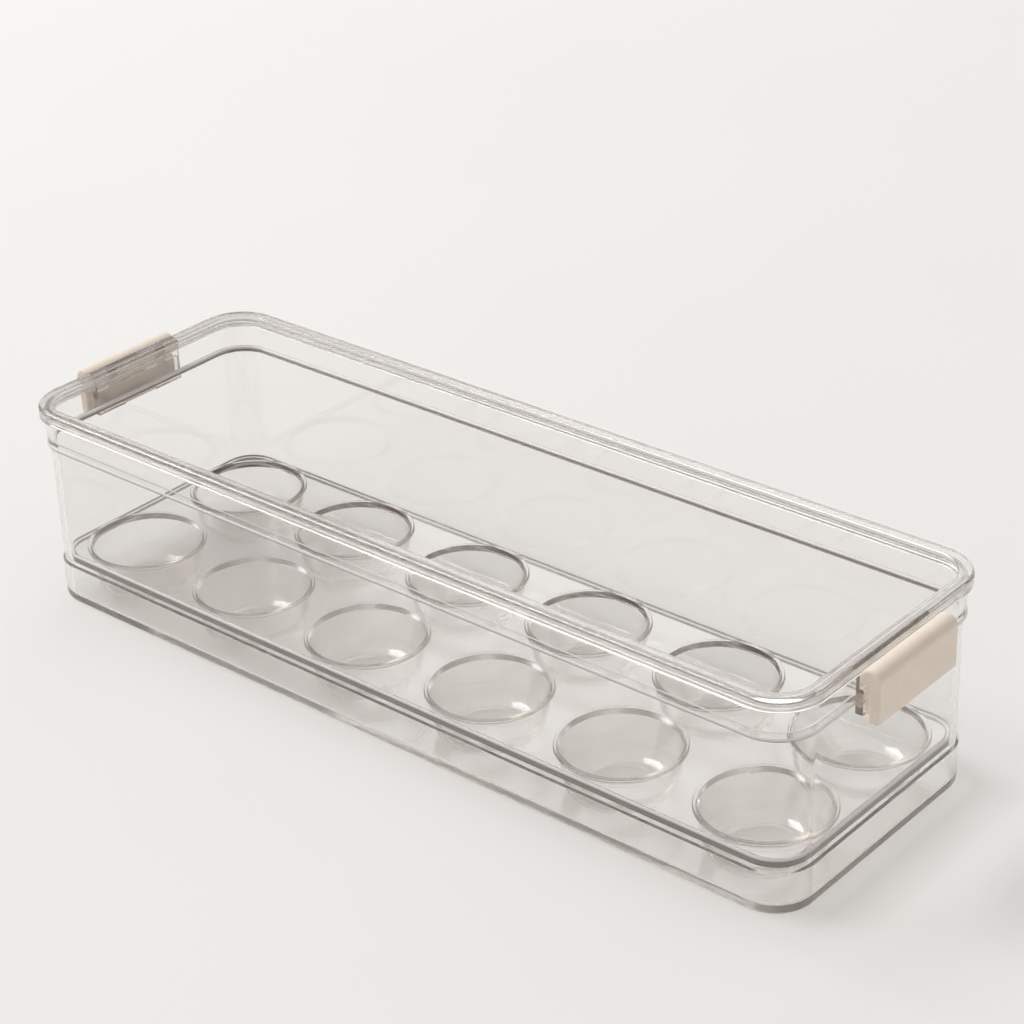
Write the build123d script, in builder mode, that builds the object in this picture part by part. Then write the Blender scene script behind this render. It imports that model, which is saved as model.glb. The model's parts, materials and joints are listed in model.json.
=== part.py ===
from build123d import *
import math
import os

# Egg holder tray: a clear bin with a clear rim frame, a lift-out tray of egg cups and two hinged end clips.
# Frame: X along the length, Y across, Z up. Origin: centre of the base, on the surface that the bin stands on.
# An "inset" is a distance inward from the rim frame's outer edge, in plan.

# Driving dimensions, mm
length = 312.0
width = 102.0
height = 72.5
corner_radius = 15.5
air_gap = 0.15  # between pieces that rest on each other
swing_gap = 0.3  # between pieces that pass each other

# Bin
wall = 2.0
floor = 2.2
wall_inset = 2.6
plinth_inset = 1.9
plinth_height = 15.0
plinth_step = 0.6
base_round = 2.4
floor_round = 1.6
collar_inset = 1.4
collar_bottom = 58.2
collar_top = 68.2
collar_round = 0.4
tongue_inset = 2.4
tongue_wall = 1.2
tongue_height = 2.1
shelf_top = 60.4
shelf_round = 0.3

# Rim frame
rim_width = 4.7
rim_bottom = collar_top + air_gap
rim_round = 1.2
rim_inner_round = 0.6
groove_inset = tongue_inset - swing_gap
groove_width = tongue_wall + 2 * swing_gap
groove_top = collar_top + tongue_height + swing_gap

# Egg tray
tray_inset = 5.0
plate_top = 17.8
plate_wall = 1.5
skirt_wall = 1.8
skirt_bottom = 15.1
tray_round = 0.9
cup_columns = 6
cup_rows = 2
cup_pitch_x = 51.6
cup_pitch_y = 48.0
cup_wall = 1.2
cup_mouth_radius = 18.6
cup_floor_radius = 15.6
cup_floor_round = 4.5
cup_bottom = floor + air_gap
lip_radius = 20.3
lip_height = 0.8
lip_round = 0.4

# Clips and their hinges; each pin's axis is parallel to Y
clip_length = 40.0
clip_plate = 3.8
clip_bottom = 55.0
clip_round = 1.0
barrel_radius = 3.5
pin_x = length / 2 + swing_gap + barrel_radius
pin_z = 68.4
pin_radius = 1.0
pin_clearance = 0.06
pin_length = 36.0
pin_recess = 0.8
pin_chamfer = 0.2
nose_length = 14.0
nose_height = 1.8
nose_gap = 0.4
nose_round = 0.5
rib_y = 16.75
rib_width = 2.5
rib_bottom = 56.5
end_recess = 2.0
recess_top = 66.8
tab_length = 38.0
tab_thickness = 2.5
tab_bottom = 56.0
tab_shoulder = 64.3
tab_root = 1.0
bracket_y = 11.0
bracket_width = 4.0
bracket_wall = 2.0
boss_radius = 1.9
pocket_reach = 8.0
opening_angle = 80.0

os.makedirs("parts", exist_ok=True)


def outline(inset, mode=Mode.ADD):
    """Rounded rectangle that lies this far inside the rim frame's outer edge."""
    RectangleRounded(length - 2 * inset, width - 2 * inset, corner_radius - inset, mode=mode)


def ring(outer_inset, inner_inset):
    """Band between two insets."""
    outline(outer_inset)
    outline(inner_inset, mode=Mode.SUBTRACT)


def write_node(piece, name):
    """Label a finished piece and write its STEP file."""
    piece.part.label = name
    export_step(piece.part, f"parts/{name}.step")


# ---- Bin body: plinth, wall, collar and tongue around a cavity that steps outward behind the collar ----
with BuildPart() as bin_body:
    with BuildSketch():
        outline(plinth_inset)
    extrude(amount=plinth_height)
    chamfer(bin_body.faces().sort_by(Axis.Z)[-1].edges(), plinth_step)
    fillet(bin_body.faces().sort_by(Axis.Z)[0].edges(), base_round)
    with BuildSketch(Plane.XY.offset(floor)):
        outline(wall_inset)
    extrude(amount=collar_top - floor)
    with BuildSketch(Plane.XY.offset(collar_bottom)):
        outline(collar_inset)
    extrude(amount=collar_top - collar_bottom)
    collar_ledge = bin_body.faces().filter_by_position(Axis.Z, collar_bottom, collar_bottom)[0]
    fillet(collar_ledge.outer_wire().edges(), collar_round)
    fillet(bin_body.faces().sort_by(Axis.Z)[-1].edges(), collar_round)
    with BuildSketch(Plane.XY.offset(collar_top)):
        ring(tongue_inset, tongue_inset + tongue_wall)
    extrude(amount=tongue_height)
    with BuildSketch(Plane.XY.offset(floor)):
        outline(wall_inset + wall)
    extrude(amount=collar_top - floor, mode=Mode.SUBTRACT)
    floor_face = bin_body.faces().filter_by_position(Axis.Z, floor, floor)[0]
    fillet(floor_face.edges(), floor_round)
    with BuildSketch(Plane.XY.offset(shelf_top)):
        outline(tongue_inset + tongue_wall)
    extrude(amount=collar_top - shelf_top, mode=Mode.SUBTRACT)
    shelf = bin_body.faces().filter_by_position(Axis.Z, shelf_top, shelf_top)[0]
    fillet(shelf.inner_wires()[0].edges(), shelf_round)
write_node(bin_body, "bin_body")


# ---- Rim frame: grooved ring on the bin's tongue, with a hanging tab and two hinge brackets at each end ----
tab_inner = length / 2 - collar_inset + swing_gap
tab_top = rim_bottom + tab_root
nose_top = collar_bottom - nose_gap
strut_foot = Vector(tab_inner + tab_thickness / 2, tab_shoulder - bracket_wall / 2)
strut_head = Vector(pin_x, pin_z)
strut = strut_foot - strut_head
strut_angle = math.degrees(math.atan2(strut.Y, strut.X)) % 360


def end_plane(side, y):
    """Upright plane across Y: its x runs outward from the centre towards one end, its y runs up."""
    return Plane(origin=(0, y, 0), x_dir=(side, 0, 0), z_dir=(0, -side, 0))


def tab_profile():
    """Thin neck beside the clip's barrel, and a thicker apron below it."""
    with Locations((tab_inner, tab_bottom)):
        Rectangle(length / 2 - tab_inner, tab_top - tab_bottom, align=(Align.MIN, Align.MIN))
        Rectangle(tab_thickness, tab_shoulder - tab_bottom, align=(Align.MIN, Align.MIN))


def notch_profile():
    """Way through the tab for the clip's nose."""
    with Locations((tab_inner, tab_bottom)):
        Rectangle(tab_thickness, nose_top + swing_gap - tab_bottom, align=(Align.MIN, Align.MIN))


def bracket_profile():
    """Slanting strut from the tab to the boss that holds the pin."""
    with Locations((strut_foot + strut_head) / 2):
        SlotCenterToCenter(strut.length, bracket_wall, rotation=strut_angle)
    with Locations(strut_head):
        Circle(boss_radius)
        Circle(pin_radius, mode=Mode.SUBTRACT)


with BuildPart() as rim_frame:
    with BuildSketch(Plane.XY.offset(rim_bottom)):
        ring(0, rim_width)
    extrude(amount=height - rim_bottom)
    rim_top = rim_frame.faces().sort_by(Axis.Z)[-1]
    fillet(rim_top.outer_wire().edges(), rim_round)
    rim_top = rim_frame.faces().sort_by(Axis.Z)[-1]
    fillet(rim_top.inner_wires()[0].edges(), rim_inner_round)
    rim_under = rim_frame.faces().sort_by(Axis.Z)[0]
    fillet(rim_under.outer_wire().edges(), collar_round)
    with BuildSketch(Plane.XY.offset(rim_bottom)):
        ring(groove_inset, groove_inset + groove_width)
    extrude(amount=groove_top - rim_bottom, mode=Mode.SUBTRACT)
    for side in (-1, 1):
        with BuildSketch(end_plane(side, 0)):
            tab_profile()
        extrude(amount=tab_length / 2, both=True)
        with BuildSketch(end_plane(side, 0)):
            notch_profile()
        extrude(amount=nose_length / 2 + swing_gap, both=True, mode=Mode.SUBTRACT)
        for y in (-bracket_y, bracket_y):
            with BuildSketch(end_plane(side, y)):
                bracket_profile()
            extrude(amount=bracket_width / 2, both=True)
write_node(rim_frame, "rim_frame")


# ---- Egg tray: plate with a short turned-down skirt and a lipped, flat-bottomed cup for each egg ----
cup_depth = plate_top - cup_bottom
cup_flare = (cup_mouth_radius - cup_floor_radius) / (cup_depth - cup_wall + lip_height)

with BuildPart() as cup_shell:
    with BuildSketch(Plane.XZ):
        with BuildLine():
            Polyline(
                (0, cup_bottom),
                (cup_floor_radius + cup_wall, cup_bottom),
                (cup_mouth_radius + cup_wall - cup_flare * plate_wall, plate_top - plate_wall / 2),
                (0, plate_top - plate_wall / 2),
                close=True,
            )
        make_face()
        shell_corner = vertices().group_by(Axis.Y)[0].sort_by(Axis.X)[-1]
        fillet(shell_corner, cup_floor_round + cup_wall)
        with Locations((lip_radius / 2, plate_top)):
            Rectangle(lip_radius, 2 * lip_height)
        lip_corner = vertices().group_by(Axis.Y)[-1].sort_by(Axis.X)[-1]
        fillet(lip_corner, lip_round)
    revolve(axis=Axis.Z)

with BuildPart() as cup_hollow:
    with BuildSketch(Plane.XZ):
        with BuildLine():
            Polyline(
                (0, cup_bottom + cup_wall),
                (cup_floor_radius, cup_bottom + cup_wall),
                (cup_mouth_radius - cup_flare * lip_round, plate_top + lip_height - lip_round),
                (cup_mouth_radius + lip_round, plate_top + lip_height),
                (0, plate_top + lip_height),
                close=True,
            )
        make_face()
        hollow_corner = vertices().group_by(Axis.Y)[0].sort_by(Axis.X)[-1]
        fillet(hollow_corner, cup_floor_round)
    revolve(axis=Axis.Z)

with BuildPart() as egg_tray:
    with BuildSketch(Plane.XY.offset(skirt_bottom)):
        outline(tray_inset)
    extrude(amount=plate_top - skirt_bottom)
    fillet(egg_tray.faces().sort_by(Axis.Z)[-1].edges(), tray_round)
    with BuildSketch(Plane.XY.offset(skirt_bottom)):
        outline(tray_inset + skirt_wall)
    extrude(amount=plate_top - plate_wall - skirt_bottom, mode=Mode.SUBTRACT)
    with GridLocations(cup_pitch_x, cup_pitch_y, cup_columns, cup_rows):
        add(cup_shell.part)
        add(cup_hollow.part, mode=Mode.SUBTRACT)
write_node(egg_tray, "egg_tray")


# ---- Clips: the right-hand clip is drawn, and the left-hand one is its mirror image ----
plate_outer = pin_x + barrel_radius
plate_inner = plate_outer - clip_plate
rib_inner = tab_inner + tab_thickness + swing_gap


def clip_profile():
    """Hinge barrel with a flat plate hanging from its outer side."""
    with Locations((pin_x, pin_z)):
        Circle(barrel_radius)
    with Locations(((plate_inner + plate_outer) / 2, (clip_bottom + pin_z) / 2)):
        Rectangle(clip_plate, pin_z - clip_bottom)
    inner_corners = vertices().group_by(Axis.X)[0].sort_by(Axis.Y)
    fillet(inner_corners, clip_round)
    outer_foot = vertices().group_by(Axis.Y)[0].sort_by(Axis.X)[-1]
    fillet(outer_foot, clip_round)


def recess_profile():
    """Undercut at the ends of the clip, behind the plate and below the bore."""
    with Locations((plate_inner, recess_top)):
        Rectangle(2 * barrel_radius, 2 * barrel_radius, align=(Align.MAX, Align.MAX))


def pocket_profile():
    """Room round a bracket's boss, and for its strut from the closed clip to the open one."""
    with Locations((pin_x, pin_z)):
        Circle(boss_radius + swing_gap)
        for turn in (0, opening_angle):
            Rectangle(
                pocket_reach,
                bracket_wall + 2 * swing_gap,
                rotation=strut_angle - turn,
                align=(Align.MIN, Align.CENTER),
            )
    fan = [strut_head]
    for turn in (0, opening_angle / 2, opening_angle):
        fan.append(strut_head + Vector(pocket_reach, 0).rotate(Axis.Z, strut_angle - turn))
    Polygon(*fan, align=None)


with BuildPart() as right_clip:
    with BuildSketch(Plane.XZ):
        clip_profile()
    extrude(amount=clip_length / 2, both=True)
    fillet(right_clip.faces().filter_by(Axis.Y).edges(), clip_round)
    with BuildSketch(Plane.XZ):
        with Locations(((tab_inner + plate_inner) / 2, nose_top - nose_height / 2)):
            nose = Rectangle(plate_inner - tab_inner, nose_height)
        fillet(nose.vertices().group_by(Axis.X)[0], nose_round)
    extrude(amount=nose_length / 2, both=True)
    for y in (-rib_y, rib_y):
        with BuildSketch(end_plane(1, y)):
            with Locations((rib_inner, rib_bottom)):
                Rectangle(plate_inner - rib_inner, pin_z - rib_bottom, align=(Align.MIN, Align.MIN))
        extrude(amount=rib_width / 2, both=True)
    for y in (end_recess - clip_length / 2, clip_length / 2):
        with BuildSketch(Plane.XZ.offset(-y)):
            recess_profile()
        extrude(amount=end_recess, mode=Mode.SUBTRACT)
    for y in (-bracket_y, bracket_y):
        with BuildSketch(end_plane(1, y)):
            pocket_profile()
        extrude(amount=bracket_width / 2 + swing_gap, both=True, mode=Mode.SUBTRACT)
    with BuildSketch(Plane.XZ.offset(-clip_length / 2)):
        with Locations(strut_head):
            Circle(pin_radius + pin_clearance)
    extrude(amount=pin_recess + pin_length + swing_gap, mode=Mode.SUBTRACT)
write_node(right_clip, "right_clip")

with BuildPart() as right_clip_pin:
    with BuildSketch(Plane.XZ.offset(pin_recess - clip_length / 2)):
        with Locations(strut_head):
            Circle(pin_radius)
    extrude(amount=pin_length)
    chamfer(right_clip_pin.faces().filter_by(Axis.Y).edges(), pin_chamfer)
write_node(right_clip_pin, "right_clip_pin")

with BuildPart() as left_clip:
    mirror(right_clip.part, about=Plane.YZ)
write_node(left_clip, "left_clip")

with BuildPart() as left_clip_pin:
    mirror(right_clip_pin.part, about=Plane.YZ)
write_node(left_clip_pin, "left_clip_pin")
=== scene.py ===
import json
import math

import bmesh
import bpy
from mathutils import Matrix, Vector


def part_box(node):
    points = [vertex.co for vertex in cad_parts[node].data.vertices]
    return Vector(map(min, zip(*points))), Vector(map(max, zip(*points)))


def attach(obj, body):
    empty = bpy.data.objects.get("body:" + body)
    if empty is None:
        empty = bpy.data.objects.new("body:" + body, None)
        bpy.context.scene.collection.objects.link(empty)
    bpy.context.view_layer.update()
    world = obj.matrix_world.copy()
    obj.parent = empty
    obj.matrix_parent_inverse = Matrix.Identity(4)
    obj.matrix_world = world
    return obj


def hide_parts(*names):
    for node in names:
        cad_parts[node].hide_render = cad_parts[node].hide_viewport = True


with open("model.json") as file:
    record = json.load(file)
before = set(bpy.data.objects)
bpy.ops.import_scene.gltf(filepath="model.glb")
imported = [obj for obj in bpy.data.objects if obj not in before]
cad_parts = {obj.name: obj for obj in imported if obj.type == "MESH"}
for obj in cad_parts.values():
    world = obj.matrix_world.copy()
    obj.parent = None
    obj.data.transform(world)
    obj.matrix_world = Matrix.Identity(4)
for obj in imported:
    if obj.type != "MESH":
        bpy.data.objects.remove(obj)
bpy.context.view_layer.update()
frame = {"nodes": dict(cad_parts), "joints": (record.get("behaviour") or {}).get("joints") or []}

# Clear egg bin: bin body, rim frame and lift-out egg tray in clear plastic, and a cream clip on each end.
# Lengths in the mesh code are millimetres, as on a moulding drawing, and MM turns them into metres.
# An "inset" is a distance inward from the rim frame's outer edge, in plan.
MM = 0.001

# ---- Plan outline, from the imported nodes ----
rim_low, rim_high = (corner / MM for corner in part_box("rim_frame"))
bin_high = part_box("bin_body")[1] / MM
tray_low, tray_high = (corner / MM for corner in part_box("egg_tray"))
half_width = rim_high.y
collar_inset = half_width - bin_high.y
half_length = bin_high.x + collar_inset
corner_radius = 15.5
corner_steps = 18
arc_step = math.radians(15)


# ---- Camera and light ----
def turned(azimuth, elevation, distance, aim):
    """Point at this distance from aim. Azimuth 0 is the front (-Y) and a quarter turn the right (+X)."""
    across = math.cos(elevation)
    away = Vector((math.sin(azimuth) * across, -math.cos(azimuth) * across, math.sin(elevation)))
    return aim + distance * away


def look(spot, aim, roll=0.0):
    """Matrix of an object at spot that faces aim with its own -Z, turned by roll about that line."""
    back = (spot - aim).normalized()
    side = Vector((0, 0, 1)).cross(back).normalized()
    up = back.cross(side)
    side, up = side * math.cos(roll) + up * math.sin(roll), up * math.cos(roll) - side * math.sin(roll)
    axes = Matrix((side, up, back)).transposed().to_4x4()
    return Matrix.Translation(spot) @ axes


def add_camera():
    """Long-lens view from the right of the front, a little above."""
    data = bpy.data.cameras.new("camera")
    data.lens = 92.19
    data.sensor_width = 36.0
    camera = bpy.data.objects.new("camera", data)
    bpy.context.scene.collection.objects.link(camera)
    azimuth, elevation, roll = math.radians(41.29), math.radians(28.30), math.radians(-2.05)
    distance = 0.8227
    aim = Vector((0.0076, 0.0091, 0.0588))
    camera.matrix_world = look(turned(azimuth, elevation, distance, aim), aim, roll)
    bpy.context.scene.camera = camera


def add_softbox(name, azimuth, elevation, distance, size, power, colour):
    """Square area light that faces the middle of the bin. Angles are in degrees."""
    data = bpy.data.lights.new(name, "AREA")
    data.shape = "SQUARE"
    data.size = size
    data.energy = power
    data.color = colour
    lamp = bpy.data.objects.new(name, data)
    bpy.context.scene.collection.objects.link(lamp)
    aim = Vector((0, 0, 0.03))
    lamp.matrix_world = look(turned(math.radians(azimuth), math.radians(elevation), distance, aim), aim)


def add_world():
    """Pale studio room, bright overhead and at the back, with its unlit side in front and to the right."""
    world = bpy.data.worlds.new("studio")
    bpy.context.scene.world = world
    world.use_nodes = True
    nodes, links = world.node_tree.nodes, world.node_tree.links
    background = nodes["Background"]
    background.inputs["Strength"].default_value = 0.50
    bright_side = (-0.50, 0.28, 0.82)
    coordinates = nodes.new("ShaderNodeTexCoord")
    towards = nodes.new("ShaderNodeVectorMath")
    towards.operation = "DOT_PRODUCT"
    towards.inputs[1].default_value = bright_side
    ramp = nodes.new("ShaderNodeValToRGB")
    ramp.color_ramp.elements[0].position = 0.0
    ramp.color_ramp.elements[0].color = (0.22, 0.19, 0.17, 1)
    ramp.color_ramp.elements[1].position = 0.35
    ramp.color_ramp.elements[1].color = (1.0, 0.99, 0.975, 1)
    links.new(coordinates.outputs["Generated"], towards.inputs[0])
    links.new(towards.outputs["Value"], ramp.inputs["Fac"])
    links.new(ramp.outputs["Color"], background.inputs["Color"])


def add_floor():
    """Plain pale floor, a hair below the bin's base."""
    half, drop = 4.0, 0.05 * MM
    mesh = bpy.data.meshes.new("floor")
    corners = [(-half, -half, -drop), (half, -half, -drop), (half, half, -drop), (-half, half, -drop)]
    mesh.from_pydata(corners, [], [(0, 1, 2, 3)])
    floor = bpy.data.objects.new("floor", mesh)
    bpy.context.scene.collection.objects.link(floor)
    mesh.materials.append(paper_white())


# ---- Materials ----
clear_colour = (0.985, 0.980, 0.974)
# The second slot paints shade, a dark line where light makes a moulded edge look dark, and the third paints
# a highlight, a bright line.
clear, painted_shade, painted_highlight = 0, 1, 2  # places of a moulded piece's materials in its own list


def new_material(name):
    """Node material with its Principled shader at hand."""
    material = bpy.data.materials.new(name)
    material.use_nodes = True
    return material, material.node_tree, material.node_tree.nodes["Principled BSDF"]


def noise(tree, scale, detail=3.0, stretch=(1, 1, 1)):
    """Noise in the object's own space, its scale in cells per metre, stretched along an axis if asked."""
    place = tree.nodes.new("ShaderNodeTexCoord")
    mapping = tree.nodes.new("ShaderNodeMapping")
    mapping.inputs["Scale"].default_value = stretch
    texture = tree.nodes.new("ShaderNodeTexNoise")
    texture.inputs["Scale"].default_value = scale
    texture.inputs["Detail"].default_value = detail
    tree.links.new(place.outputs["Object"], mapping.inputs["Vector"])
    tree.links.new(mapping.outputs["Vector"], texture.inputs["Vector"])
    return texture.outputs["Fac"]


def between(tree, factor, low, high):
    """Number that runs from low to high as factor runs from 0 to 1."""
    span = tree.nodes.new("ShaderNodeMapRange")
    span.inputs["To Min"].default_value = low
    span.inputs["To Max"].default_value = high
    tree.links.new(factor, span.inputs["Value"])
    return span.outputs["Result"]


def tinted(tree, factor, first, second):
    """Colour that runs from first to second as factor runs from 0 to 1."""
    ramp = tree.nodes.new("ShaderNodeValToRGB")
    ramp.color_ramp.elements[0].position = 0.3
    ramp.color_ramp.elements[0].color = (*first, 1)
    ramp.color_ramp.elements[1].position = 0.7
    ramp.color_ramp.elements[1].color = (*second, 1)
    tree.links.new(factor, ramp.inputs["Fac"])
    return ramp.outputs["Color"]


def bumped(tree, height, depth):
    """Surface normal of a relief, its height running from 0 to 1 over this depth."""
    bump = tree.nodes.new("ShaderNodeBump")
    bump.inputs["Strength"].default_value = 1.0
    bump.inputs["Distance"].default_value = depth
    tree.links.new(height, bump.inputs["Height"])
    return bump.outputs["Normal"]


def paper_white():
    """Matt white paper with a faint unevenness."""
    material, tree, shader = new_material("floor_white")
    colour = tinted(tree, noise(tree, 3.0), (0.845, 0.840, 0.832), (0.865, 0.860, 0.852))
    tree.links.new(colour, shader.inputs["Base Color"])
    shader.inputs["Roughness"].default_value = 0.9
    shader.inputs["Specular IOR Level"].default_value = 0.2
    return material


def clear_plastic(name, colour, clarity, tint_density, shade_through, polish_low, polish_high):
    """Clear moulded plastic: faint flow waves, uneven polish and a warm grey tint in its depth.

    Lamps and diffuse light pass straight through it, dimmed by shade_through, so its shadow is pale.
    """
    material, tree, shader = new_material(name)
    shader.inputs["Base Color"].default_value = (*colour, 1)
    shader.inputs["Transmission Weight"].default_value = clarity
    shader.inputs["IOR"].default_value = 1.50
    polish = between(tree, noise(tree, 60.0), polish_low, polish_high)
    tree.links.new(polish, shader.inputs["Roughness"])
    flow = noise(tree, 26.0, 1.0, (0.5, 1, 1))
    tree.links.new(bumped(tree, flow, 0.006 * MM), shader.inputs["Normal"])
    inside = tree.nodes.new("ShaderNodeVolumeAbsorption")
    inside.inputs["Color"].default_value = (0.60, 0.55, 0.50, 1)
    inside.inputs["Density"].default_value = tint_density
    out = tree.nodes["Material Output"]
    tree.links.new(inside.outputs["Volume"], out.inputs["Volume"])
    path = tree.nodes.new("ShaderNodeLightPath")
    lets_through = tree.nodes.new("ShaderNodeMath")
    lets_through.operation = "MAXIMUM"
    tree.links.new(path.outputs["Is Shadow Ray"], lets_through.inputs[0])
    tree.links.new(path.outputs["Is Diffuse Ray"], lets_through.inputs[1])
    through = tree.nodes.new("ShaderNodeBsdfTransparent")
    through.inputs["Color"].default_value = (*shade_through, 1)
    mix = tree.nodes.new("ShaderNodeMixShader")
    tree.links.new(lets_through.outputs["Value"], mix.inputs["Fac"])
    tree.links.new(shader.outputs["BSDF"], mix.inputs[1])
    tree.links.new(through.outputs["BSDF"], mix.inputs[2])
    tree.links.new(mix.outputs["Shader"], out.inputs["Surface"])
    return material


def clip_plastic():
    """Cream satin plastic with a fine spark-eroded grain and a faint mottle."""
    material, tree, shader = new_material("cream_plastic")
    mottle = tinted(tree, noise(tree, 220.0), (0.86, 0.755, 0.655), (0.90, 0.795, 0.695))
    tree.links.new(mottle, shader.inputs["Base Color"])
    tree.links.new(between(tree, noise(tree, 900.0), 0.42, 0.58), shader.inputs["Roughness"])
    grain = noise(tree, 2600.0, 2.0)
    tree.links.new(bumped(tree, grain, 0.035 * MM), shader.inputs["Normal"])
    shader.inputs["Subsurface Weight"].default_value = 0.15
    shader.inputs["Subsurface Radius"].default_value = (1.0, 0.7, 0.5)
    shader.inputs["Subsurface Scale"].default_value = 1.0 * MM
    return material


def pin_steel():
    """Drawn steel wire: fine lines along the pin."""
    material, tree, shader = new_material("drawn_steel")
    lines = noise(tree, 3000.0, 3.0, (1, 0.02, 1))
    tree.links.new(tinted(tree, lines, (0.50, 0.50, 0.50), (0.62, 0.61, 0.60)), shader.inputs["Base Color"])
    tree.links.new(between(tree, lines, 0.22, 0.42), shader.inputs["Roughness"])
    tree.links.new(bumped(tree, lines, 0.01 * MM), shader.inputs["Normal"])
    shader.inputs["Metallic"].default_value = 1.0
    return material


# ---- Mesh code ----
def rounded(corners, lead_in=None, lead_out=None):
    """Points of a line through (x, y, radius) corners, with each corner drawn as an arc.

    The line is closed, unless lead_in and lead_out give the directions into its first corner and out of its
    last one.
    """
    places = [Vector(corner[:2]) for corner in corners]
    points = []
    for i, (here, corner) in enumerate(zip(places, corners)):
        radius = corner[2]
        before = (here - places[i - 1]).normalized()
        after = (places[(i + 1) % len(places)] - here).normalized()
        if lead_in and i == 0:
            before = Vector(lead_in)
        if lead_out and i == len(places) - 1:
            after = Vector(lead_out)
        turn = math.atan2(before.cross(after), before.dot(after))
        steps = max(1, math.ceil(abs(turn) / arc_step))
        inward = Vector((-before.y, before.x)) * math.copysign(radius, turn)
        centre = here - before * radius * math.tan(abs(turn) / 2) + inward
        for k in range(steps + 1):
            spoke = -inward
            spoke.rotate(Matrix.Rotation(turn * k / steps, 2))
            points.append(centre + spoke)
    return points


def outline(inset, z):
    """Rounded rectangle at this inset and height, counterclockwise from above."""
    radius = corner_radius - inset
    reach_x, reach_y = half_length - corner_radius, half_width - corner_radius
    points = []
    for quarter, (side_x, side_y) in enumerate(((1, 1), (-1, 1), (-1, -1), (1, -1))):
        for k in range(corner_steps + 1):
            angle = math.radians(90) * (quarter + k / corner_steps)
            x = side_x * reach_x + radius * math.cos(angle)
            y = side_y * reach_y + radius * math.sin(angle)
            points.append(Vector((x, y, z)) * MM)
    return points


def circle(centre, radius, z, steps=72):
    """Points of a level circle, counterclockwise from above."""
    points = []
    for k in range(steps):
        angle = math.tau * k / steps
        x = centre[0] + radius * math.cos(angle)
        y = centre[1] + radius * math.sin(angle)
        points.append(Vector((x, y, z)) * MM)
    return points


def add_bands(mesh, loops, closed=False, material_index=0):
    """Quads from each loop to the next, and back to the first if closed. Gives the loops' vertices."""
    rows = [[mesh.verts.new(point) for point in loop] for loop in loops]
    pairs = list(zip(rows, rows[1:]))
    if closed:
        pairs.append((rows[-1], rows[0]))
    for lower, upper in pairs:
        count = len(lower)
        for i in range(count):
            j = (i + 1) % count
            face = mesh.faces.new((lower[i], lower[j], upper[j], upper[i]))
            face.material_index = material_index
    return rows


def add_sheet(mesh, outer, holes):
    """Flat sheet inside the outer loop and outside the holes."""
    edges = []
    for loop in (outer, *holes):
        corners = [mesh.verts.new(point) for point in loop]
        edges += [mesh.edges.new((corners[i - 1], corners[i])) for i in range(len(corners))]
    bmesh.ops.triangle_fill(mesh, use_beauty=True, edges=edges, normal=(0, 0, 1))


def add_prism(mesh, shape, near, far, place):
    """Solid between two copies of a flat shape. place(point, depth) puts a point at near or far depth."""
    rows = add_bands(mesh, [[place(point, depth) for point in shape] for depth in (near, far)])
    mesh.faces.new(rows[0][::-1])
    mesh.faces.new(rows[1])


def new_object(mesh, name):
    """Object from a bmesh, with its faces turned outward."""
    bmesh.ops.remove_doubles(mesh, verts=mesh.verts, dist=1e-7)
    bmesh.ops.recalc_face_normals(mesh, faces=mesh.faces)
    data = bpy.data.meshes.new(name)
    mesh.to_mesh(data)
    mesh.free()
    made = bpy.data.objects.new(name, data)
    bpy.context.scene.collection.objects.link(made)
    return made


def combine(piece, tools, operation):
    """Join the tools to the piece, or cut them from it, and delete them."""
    for tool in tools:
        step = piece.modifiers.new("step", "BOOLEAN")
        step.object = tool
        step.operation = operation
        step.solver = "EXACT"
    shown = piece.evaluated_get(bpy.context.evaluated_depsgraph_get())
    piece.data = bpy.data.meshes.new_from_object(shown)
    piece.modifiers.clear()
    for tool in tools:
        bpy.data.objects.remove(tool)


def finish_piece(piece, body, materials, node):
    """Shade a piece smooth except at sharp edges, and let it ride on its body in place of its CAD node."""
    data = piece.data
    data.shade_smooth()
    data.set_sharp_from_angle(angle=math.radians(32))
    even = piece.modifiers.new("even_normals", "WEIGHTED_NORMAL")
    even.keep_sharp = True
    even.weight = 100
    for material in materials:
        data.materials.append(material)
    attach(piece, body)
    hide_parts(node)


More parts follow.
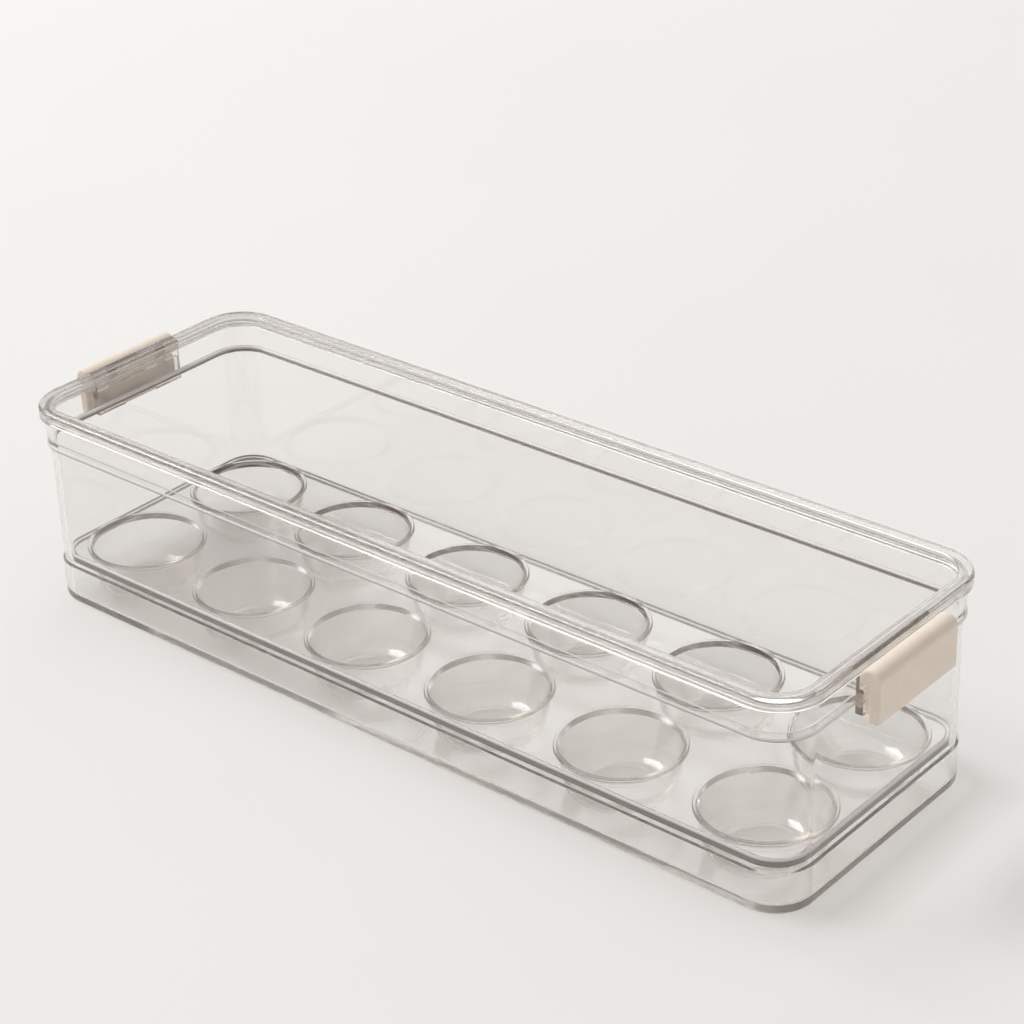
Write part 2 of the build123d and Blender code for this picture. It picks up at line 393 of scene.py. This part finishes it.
# ---- Bin body ----
def make_bin():
    """Plinth, wall, beaded collar and tongue outside, stepped cavity inside, as one line from base to floor.

    The collar's foot carries painted shade, a dark line, and its bead and the step's shelf a painted
    highlight, standing in for the dark and bright lines that light makes at moulded edges.
    """
    plinth_inset, plinth_top, wall_inset, cavity_inset, floor = 1.9, 14.4, 2.6, 4.6, 2.2
    tongue_outer, tongue_inner, shelf = 2.4, 3.6, 60.4
    collar_foot, foot_top, bead_top, bead_depth, rim_seat = 58.2, 58.7, 59.3, 0.35, 68.2
    margin, shelf_margin = 0.1, 0.25
    line = rounded(
        [
            (-plinth_inset, 0.0, 2.4),
            (-plinth_inset, plinth_top, 0.3),
            (-wall_inset, plinth_top + wall_inset - plinth_inset, 0.3),
            (-wall_inset, collar_foot, 0.15),
            (-collar_inset, collar_foot, 0.4),
            (-collar_inset, bead_top, 0.3),
            (-collar_inset - bead_depth, bead_top, 0.05),
            (-collar_inset - bead_depth, rim_seat, 0.4),
            (-tongue_outer, rim_seat, 0.15),
            (-tongue_outer, bin_high.z, 0.2),
            (-tongue_inner, bin_high.z, 0.2),
            (-tongue_inner, shelf, 0.3),
            (-cavity_inset, shelf, 0.4),
            (-cavity_inset, floor, 1.6),
        ],
        lead_in=(1, 0),
        lead_out=(-1, 0),
    )
    mesh = bmesh.new()
    loops = [outline(-p.x, p.y) for p in line]
    rows = []
    for i, (before, after) in enumerate(zip(line, line[1:])):
        middle = (before + after) / 2
        on_collar = middle.x > -wall_inset
        on_bead = on_collar and foot_top < middle.y < bead_top + margin
        on_shelf = abs(middle.y - shelf) < shelf_margin
        # Faces on the collar's foot get painted shade, a dark line; faces on the bead and the shelf get a
        # painted highlight, a bright line.
        finish = clear
        if on_collar and collar_foot - margin < middle.y < foot_top:
            finish = painted_shade
        elif on_bead or on_shelf:
            finish = painted_highlight
        rows += add_bands(mesh, loops[i : i + 2], material_index=finish)
    mesh.faces.new(rows[0][::-1])
    mesh.faces.new(rows[-1])
    piece = new_object(mesh, "moulded_bin")
    materials = [
        clear_plastic("bin_plastic", clear_colour, 0.97, 12.0, (0.975, 0.973, 0.97), 0.0, 0.03),
        # Painted shade: a dark brown, half-clear tint for the collar's foot. Painted highlight: a pale,
        # mostly opaque band for the bead and the shelf.
        clear_plastic("bin_painted_shade_plastic", (0.34, 0.27, 0.24), 0.4, 12.0, (0.90, 0.88, 0.86), 0.10, 0.20),
        clear_plastic("bin_painted_highlight_plastic", (0.99, 0.98, 0.96), 0.25, 12.0, (0.97, 0.97, 0.97), 0.10, 0.20),
    ]
    finish_piece(piece, "bin", materials, "bin_body")


# ---- Rim frame ----
def across_x(point, depth):
    """Place a (y, z) point of a shape at a depth along X."""
    return Vector((depth, point[0], point[1])) * MM


def across_y(point, depth):
    """Place an (x, z) point of a shape at a depth along Y."""
    return Vector((point[0], depth, point[1])) * MM


def block(name, low, high):
    """Plain box between two corners, as a tool for a boolean."""
    mesh = bmesh.new()
    shape = [(low[1], low[2]), (high[1], low[2]), (high[1], high[2]), (low[1], high[2])]
    add_prism(mesh, shape, low[0], high[0], across_x)
    return new_object(mesh, name)


def rod(name, x, z, radius, near, far, steps=48):
    """Cylinder along Y, as a tool for a boolean."""
    mesh = bmesh.new()
    shape = []
    for k in range(steps):
        angle = math.tau * k / steps
        shape.append((x + radius * math.cos(angle), z + radius * math.sin(angle)))
    add_prism(mesh, shape, near, far, across_y)
    return new_object(mesh, name)


def hinge_spot(side):
    """Centre of a clip's hinge in the X-Z plane."""
    for joint in frame["joints"]:
        if joint["name"] == f"{side}_clip_hinge":
            return joint["pos_m"][0] / MM, joint["pos_m"][2] / MM


def end_parts(side, sign, rim_bottom):
    """Hanging tab with two struts and bosses at one end of the rim, and the bores for the clip's pin."""
    neck_inner = bin_high.x + 0.3
    apron_outer = neck_inner + 2.5
    reach, shoulder, notch_reach, notch_top = 19.0, 64.3, 7.3, 58.1
    bracket_y, bracket_half, strut_half, boss_radius, bore_radius = 11.0, 2.0, 1.0, 1.9, 1.02
    pin_x, pin_z = hinge_spot(side)
    neck_low = (sign * neck_inner, -reach, shoulder - 0.5)
    neck_high = (sign * half_length, reach, rim_bottom + 1)
    joined = [block("neck", neck_low, neck_high)]
    apron = [
        (-reach, rim_low.z),
        (-notch_reach, rim_low.z),
        (-notch_reach, notch_top),
        (notch_reach, notch_top),
        (notch_reach, rim_low.z),
        (reach, rim_low.z),
        (reach, shoulder),
        (-reach, shoulder),
    ]
    mesh = bmesh.new()
    add_prism(mesh, apron, sign * neck_inner, sign * apron_outer, across_x)
    joined.append(new_object(mesh, "apron"))
    foot = Vector((sign * (neck_inner + apron_outer) / 2, shoulder - strut_half))
    head = Vector((pin_x, pin_z))
    aside = strut_half * Vector((foot.y - head.y, head.x - foot.x)).normalized()
    strut = [foot - aside, foot + aside, head + aside, head - aside]
    bores = []
    for y in (-bracket_y, bracket_y):
        near, far = y - bracket_half, y + bracket_half
        mesh = bmesh.new()
        add_prism(mesh, strut, near, far, across_y)
        joined.append(new_object(mesh, "strut"))
        joined.append(rod("boss", pin_x, pin_z, boss_radius, near, far))
        bores.append(rod("bore", pin_x, pin_z, bore_radius, near - 1, far + 1))
    return joined, bores


def make_rim():
    """Ring, grooved to sit on the bin's tongue, with the parts that hold a clip at each end."""
    rim_width, rim_bottom = 4.7, 68.35
    groove_outer, groove_inner, groove_top = 2.1, 3.9, 70.6
    line = rounded(
        [
            (0.0, rim_bottom, 0.4),
            (0.0, rim_high.z, 1.2),
            (-rim_width, rim_high.z, 0.6),
            (-rim_width, rim_bottom, 0.15),
            (-groove_inner, rim_bottom, 0.1),
            (-groove_inner, groove_top, 0.1),
            (-groove_outer, groove_top, 0.1),
            (-groove_outer, rim_bottom, 0.1),
        ]
    )
    mesh = bmesh.new()
    add_bands(mesh, [outline(-p.x, p.y) for p in line], closed=True)
    piece = new_object(mesh, "moulded_rim")
    for side, sign in (("left", -1), ("right", 1)):
        joined, bores = end_parts(side, sign, rim_bottom)
        combine(piece, joined, "UNION")
        combine(piece, bores, "DIFFERENCE")
    plastic = clear_plastic("rim_plastic", clear_colour, 0.97, 90.0, (0.985, 0.983, 0.98), 0.07, 0.12)
    finish_piece(piece, "rim", [plastic], "rim_frame")


# ---- Egg tray ----
def make_tray():
    """Plate with a short turned-down skirt and twelve lipped cups.

    The skirt's outer face carries painted shade, a dark band, and the plate's rounded shoulder a painted
    highlight, standing in for the dark and bright lines that light makes at moulded edges.
    """
    plate_top, plate_under, skirt_bottom = 17.8, 16.3, 15.1
    skirt_outer, skirt_inner, painted_band_depth, shoulder_foot = 5.0, 6.8, 0.6, 17.1
    columns, rows_of_cups, pitch_x, pitch_y = 6, 2, 51.6, 48.0
    lip_radius, mouth_radius, cup_floor_radius, cup_floor = 20.3, 18.75, 15.6, 3.55
    root_radius, shell_floor_radius = 19.36, 16.8
    edge = rounded(
        [
            (-skirt_inner, plate_under, 0.25),
            (-skirt_inner, skirt_bottom, 0.25),
            (-skirt_outer, skirt_bottom, 0.25),
            (-skirt_outer, plate_top, 0.9),
        ],
        lead_in=(1, 0),
        lead_out=(-1, 0),
    )
    hollow = rounded(
        [
            (lip_radius, plate_top, 0.15),
            (lip_radius, tray_high.z, 0.35),
            (mouth_radius, tray_high.z, 0.4),
            (cup_floor_radius, cup_floor, 7.0),
        ],
        lead_in=(-1, 0),
        lead_out=(-1, 0),
    )
    shell = rounded(
        [(root_radius, plate_under, 0.2), (shell_floor_radius, tray_low.z, 5.7)],
        lead_in=(-1, 0),
        lead_out=(-1, 0),
    )
    mesh = bmesh.new()
    edge_loops = [outline(-p.x, p.y) for p in edge]
    for i, (below, above) in enumerate(zip(edge, edge[1:])):
        middle = (below + above) / 2
        # Painted shade on the skirt's outer faces and a painted highlight on the rounded shoulder; faces
        # further in stay clear.
        finish = painted_shade if middle.y < shoulder_foot else painted_highlight
        if middle.x < -skirt_outer - painted_band_depth:
            finish = clear
        add_bands(mesh, edge_loops[i : i + 2], material_index=finish)
    mouths, roots = [], []
    for column in range(columns):
        for row in range(rows_of_cups):
            centre = ((column - (columns - 1) / 2) * pitch_x, (row - (rows_of_cups - 1) / 2) * pitch_y)
            for line, holes in ((hollow, mouths), (shell, roots)):
                loops = [circle(centre, p.x, p.y) for p in line]
                holes.append(loops[0])
                mesh.faces.new(add_bands(mesh, loops)[-1])
    add_sheet(mesh, edge_loops[-1], mouths)
    add_sheet(mesh, edge_loops[0], roots)
    piece = new_object(mesh, "moulded_tray")
    materials = [
        clear_plastic("tray_plastic", clear_colour, 0.985, 35.0, (0.88, 0.87, 0.86), 0.08, 0.14),
        # Painted shade: a dark brown, half-clear tint for the skirt's outer face. Painted highlight: a pale
        # band for the plate's shoulder.
        clear_plastic("tray_painted_shade_plastic", (0.29, 0.21, 0.18), 0.42, 150.0, (0.80, 0.78, 0.76), 0.15, 0.25),
        clear_plastic("tray_painted_highlight_plastic", (0.97, 0.96, 0.94), 0.35, 20.0, (0.93, 0.92, 0.91), 0.15, 0.25),
    ]
    finish_piece(piece, "tray", materials, "egg_tray")


# ---- Studio, moulded pieces, and the finish of the CAD clips and pins ----
add_camera()
add_world()
add_softbox("key", -75, 50, 5.0, 2.6, 167.0, (1.0, 0.985, 0.965))
add_softbox("fill", -150, 40, 3.0, 1.5, 10.0, (0.97, 0.985, 1.0))
add_softbox("low_fill", 85, 9, 2.5, 1.0, 9.0, (1.0, 0.975, 0.94))
add_floor()
make_bin()
make_rim()
make_tray()

for side in ("left", "right"):
    for node, material in ((f"{side}_clip", clip_plastic()), (f"{side}_clip_pin", pin_steel())):
        slots = frame["nodes"][node].data.materials
        slots.clear()
        slots.append(material)

scene = bpy.context.scene
scene.view_settings.view_transform = "Standard"
scene.cycles.max_bounces = 96
scene.cycles.transmission_bounces = 96
scene.cycles.glossy_bounces = 96
scene.cycles.transparent_max_bounces = 64
